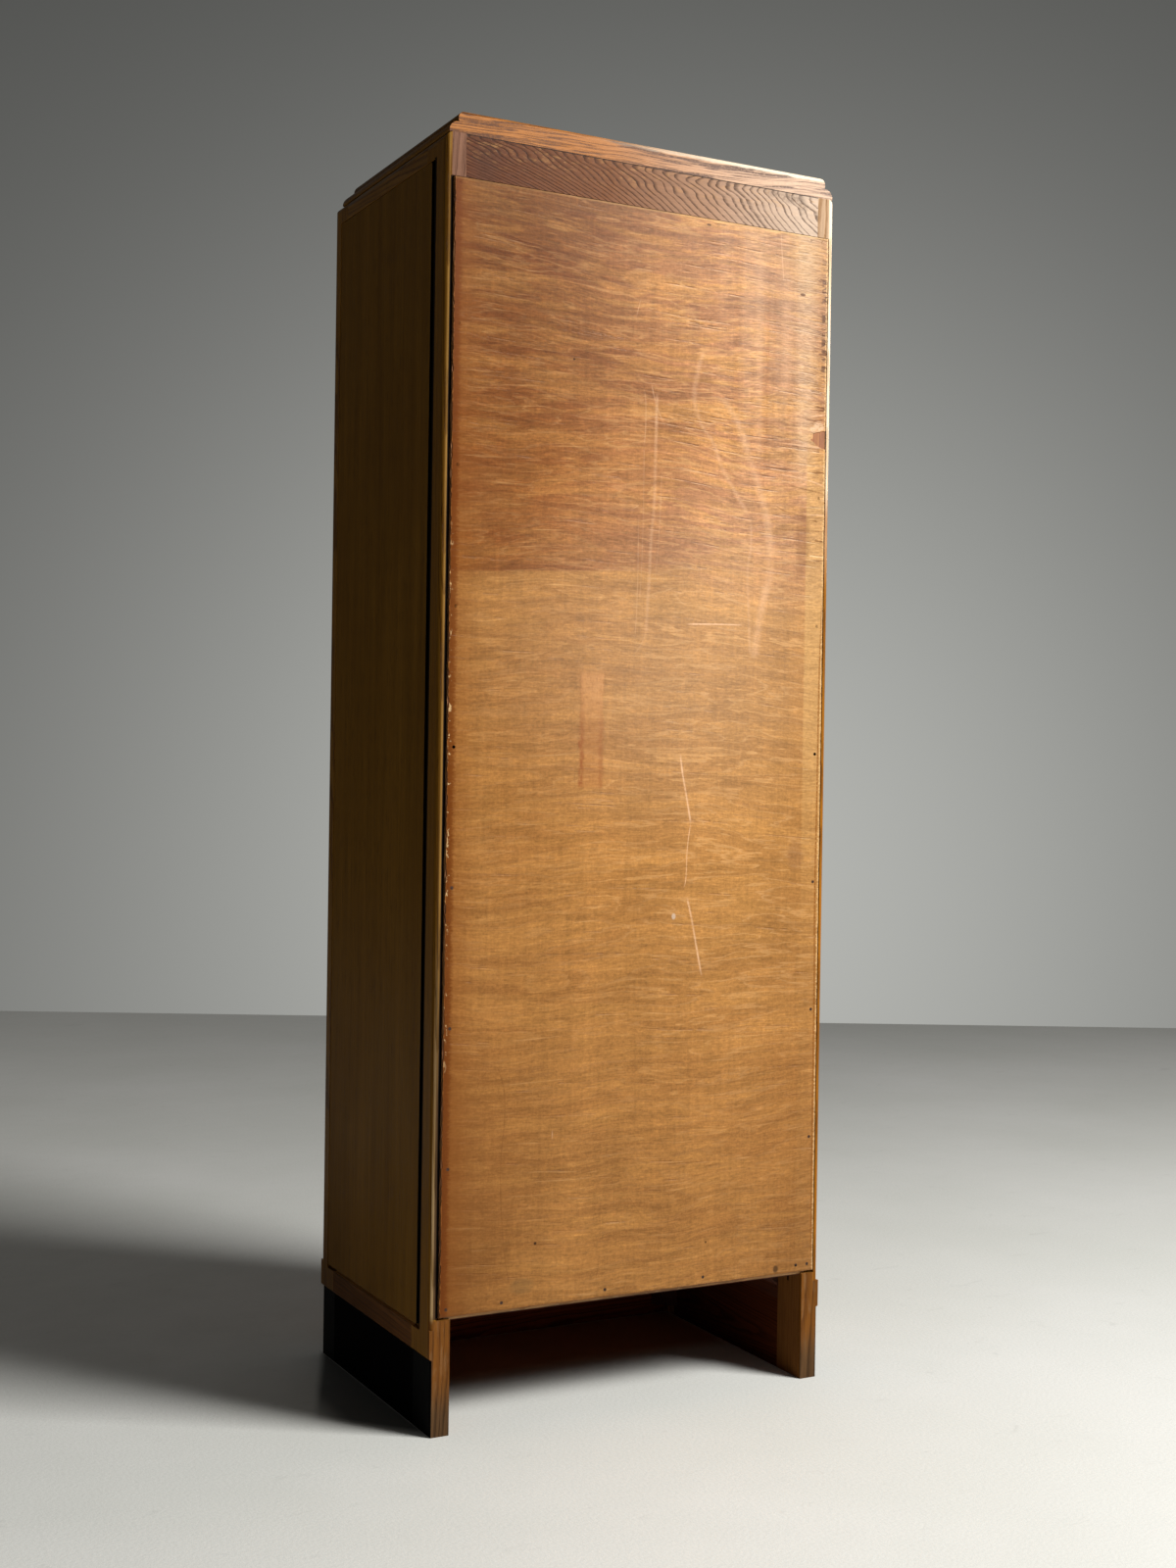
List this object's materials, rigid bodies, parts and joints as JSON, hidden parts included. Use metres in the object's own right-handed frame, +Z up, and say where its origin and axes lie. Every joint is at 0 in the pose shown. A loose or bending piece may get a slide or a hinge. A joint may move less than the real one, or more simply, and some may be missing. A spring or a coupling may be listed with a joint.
{
  "type": "bookcase",
  "caption": "Tall narrow oak bookcase with frame-and-panel sides, moulded top, black plinth, nailed plywood back and loose shelves on battens in toothed racks.",
  "frame": {"origin": "on the floor, under the middle of the case", "axes": "+Z up, +X to the right seen from the open front, +Y to the plywood back"},
  "size_m": [0.601, 0.405, 1.704],
  "materials": {
    "oak": "worn golden varnish",
    "raw_oak": "bare, greyed",
    "inside_oak": "thin satin varnish",
    "ebonised_oak": "black, satin",
    "side_plywood": "golden varnish",
    "back_plywood": "bare, scratched",
    "iron": "rusted nail heads",
    "brass": "tarnished"
  },
  "bodies": {
    "case": {"left_front_stile": "oak", "left_rear_stile": "oak", "left_top_rail": "oak", "left_bottom_rail": "oak", "left_plinth_rail": "ebonised_oak", "left_panel": "side_plywood", "right_front_stile": "oak", "right_rear_stile": "oak", "right_top_rail": "oak", "right_bottom_rail": "oak", "right_plinth_rail": "ebonised_oak", "right_panel": "side_plywood", "front_top_rail": "oak", "rear_top_rail": "raw_oak", "front_bottom_rail": "oak", "front_plinth": "ebonised_oak", "bottom_board": "inside_oak", "top_board": "oak", "back_panel": "back_plywood", "back_nails": "iron", "left_front_rack": "inside_oak", "left_rear_rack": "inside_oak", "right_front_rack": "inside_oak", "right_rear_rack": "inside_oak", "rack_screws": "brass", "left_batten_1": "inside_oak", "left_batten_2": "inside_oak", "left_batten_3": "inside_oak", "left_batten_4": "inside_oak", "right_batten_1": "inside_oak", "right_batten_2": "inside_oak", "right_batten_3": "inside_oak", "right_batten_4": "inside_oak", "top_glue_blocks": "raw_oak", "floor_glue_blocks": "raw_oak", "plinth_glue_blocks": "raw_oak"},
    "shelf_1": {"shelf_1": "inside_oak"},
    "shelf_2": {"shelf_2": "inside_oak"},
    "shelf_3": {"shelf_3": "inside_oak"},
    "shelf_4": {"shelf_4": "inside_oak"}
  },
  "joints": [
    {"name": "shelf_1_slide", "type": "slide", "parent": "case", "child": "shelf_1", "axis": [0, -1, 0], "range_m": [0, 0.4]},
    {"name": "shelf_2_slide", "type": "slide", "parent": "case", "child": "shelf_2", "axis": [0, -1, 0], "range_m": [0, 0.4]},
    {"name": "shelf_3_slide", "type": "slide", "parent": "case", "child": "shelf_3", "axis": [0, -1, 0], "range_m": [0, 0.4]},
    {"name": "shelf_4_slide", "type": "slide", "parent": "case", "child": "shelf_4", "axis": [0, -1, 0], "range_m": [0, 0.4]}
  ]
}
